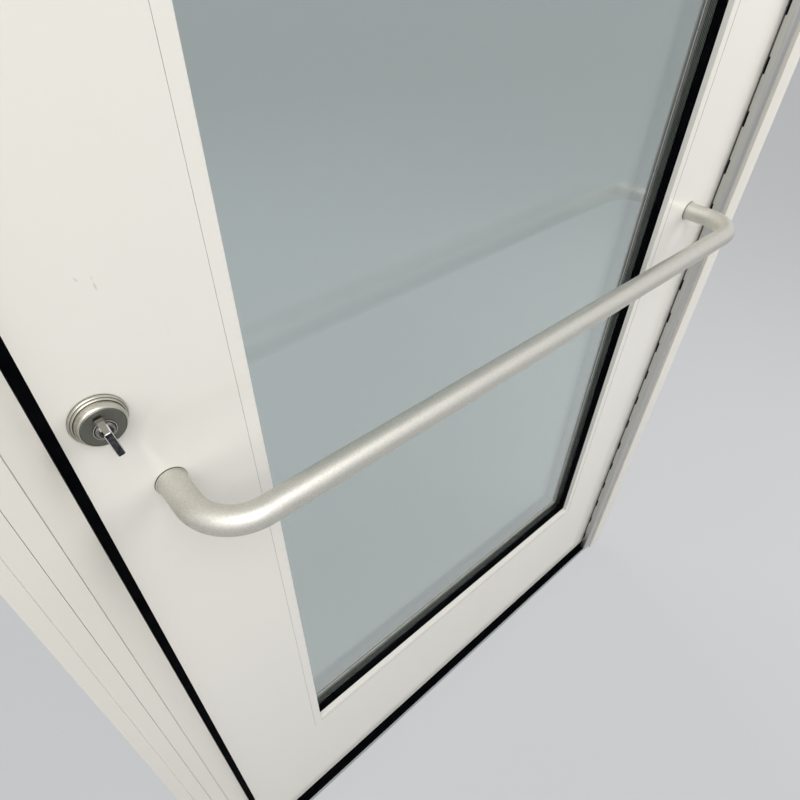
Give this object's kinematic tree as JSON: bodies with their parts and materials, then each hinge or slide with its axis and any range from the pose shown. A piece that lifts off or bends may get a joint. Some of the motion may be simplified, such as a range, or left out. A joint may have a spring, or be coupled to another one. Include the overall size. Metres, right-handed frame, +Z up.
{
  "type": "glazed door with frame",
  "caption": "Right-hinged glazed aluminium door in its frame, with a geared full-height hinge, a long round bar handle, a thumb-turn lock and a low ribbed sill.",
  "frame": {"origin": "on the floor under the middle of the frame, halfway through the frame's depth", "axes": "+Z up, +X across the door towards its hinge, +Y through the door, away from the side it opens to"},
  "size_m": [1.0436, 0.1793, 2.1804],
  "materials": {
    "frame_paint": "satin warm white powder coat",
    "leaf_paint": "satin warm white powder coat",
    "hinge_anodised": "clear anodised, fine drawn lines",
    "mill_aluminium": "plain extruded",
    "bar_aluminium": "fine blasted satin",
    "lock_satin": "satin plated",
    "thumb_chrome": "bright plated",
    "steel": "plated",
    "black_rubber": "matt",
    "black_plastic": "matt",
    "glass": "clear float glass"
  },
  "bodies": {
    "frame": {"lock_jamb": "frame_paint", "lock_jamb_cover": "frame_paint", "hinge_jamb": "frame_paint", "head": "frame_paint", "head_clips": "mill_aluminium", "door_stop_lock": "frame_paint", "door_stop_hinge": "frame_paint", "door_stop_head": "frame_paint", "stop_seals": "black_rubber", "threshold": "mill_aluminium", "threshold_insert": "black_rubber", "strike_plate": "steel", "strike_box": "black_plastic", "strike_screws": "steel", "hinge_frame_leaf": "mill_aluminium", "hinge_frame_screws": "steel"},
    "cap": {"hinge_cap": "hinge_anodised", "hinge_bearings": "black_plastic"},
    "leaf": {"lock_stile": "leaf_paint", "hinge_stile": "leaf_paint", "top_rail": "leaf_paint", "bottom_rail": "leaf_paint", "corner_blocks": "mill_aluminium", "tie_rods": "steel", "tie_rod_nuts": "steel", "bead_lock": "leaf_paint", "bead_hinge": "leaf_paint", "bead_top": "leaf_paint", "bead_bottom": "leaf_paint", "glazing_gasket": "black_rubber", "glazing_tape": "black_rubber", "inner_pane": "glass", "outer_pane": "glass", "spacer_frame": "mill_aluminium", "edge_seal": "black_rubber", "setting_blocks": "black_plastic", "bottom_sweep": "black_rubber", "lock_edge_seal": "black_rubber", "hinge_door_leaf": "mill_aluminium", "hinge_door_screws": "steel", "bar_handle": "bar_aluminium", "handle_rings": "black_plastic", "handle_plugs": "steel", "handle_bolts": "steel", "lock_case": "steel", "lock_faceplate": "steel", "faceplate_screws": "steel", "bolt_pin": "steel", "cylinder_collar": "lock_satin", "cylinder": "lock_satin", "outside_collar": "lock_satin", "outside_cylinder": "lock_satin"},
    "turn": {"thumb_turn": "thumb_chrome", "turn_cam": "steel"},
    "bolt": {"swing_bolt": "steel"}
  },
  "joints": [
    {"name": "cap_swing", "type": "hinge", "parent": "frame", "child": "cap", "pos_m": [0.47225, -0.0433, 1.07], "axis": [0, 0, 1], "range_deg": [0, 45]},
    {"name": "leaf_swing", "type": "hinge", "parent": "cap", "child": "leaf", "pos_m": [0.46565, -0.0433, 1.07], "axis": [0, 0, 1], "range_deg": [0, 45]},
    {"name": "thumb_turn_spin", "type": "hinge", "parent": "leaf", "child": "turn", "pos_m": [-0.42355, -0.0381, 1.0048], "axis": [0, 1, 0], "range_deg": [0, 90]},
    {"name": "bolt_swing", "type": "hinge", "parent": "leaf", "child": "bolt", "pos_m": [-0.43595, -0.01588, 0.9688], "axis": [0, 1, 0], "range_deg": [0, 90]}
  ],
  "couplings": [
    {"joint": "cap_swing", "follows": "leaf_swing", "ratio": 1},
    {"joint": "thumb_turn_spin", "follows": "bolt_swing", "ratio": 1}
  ]
}
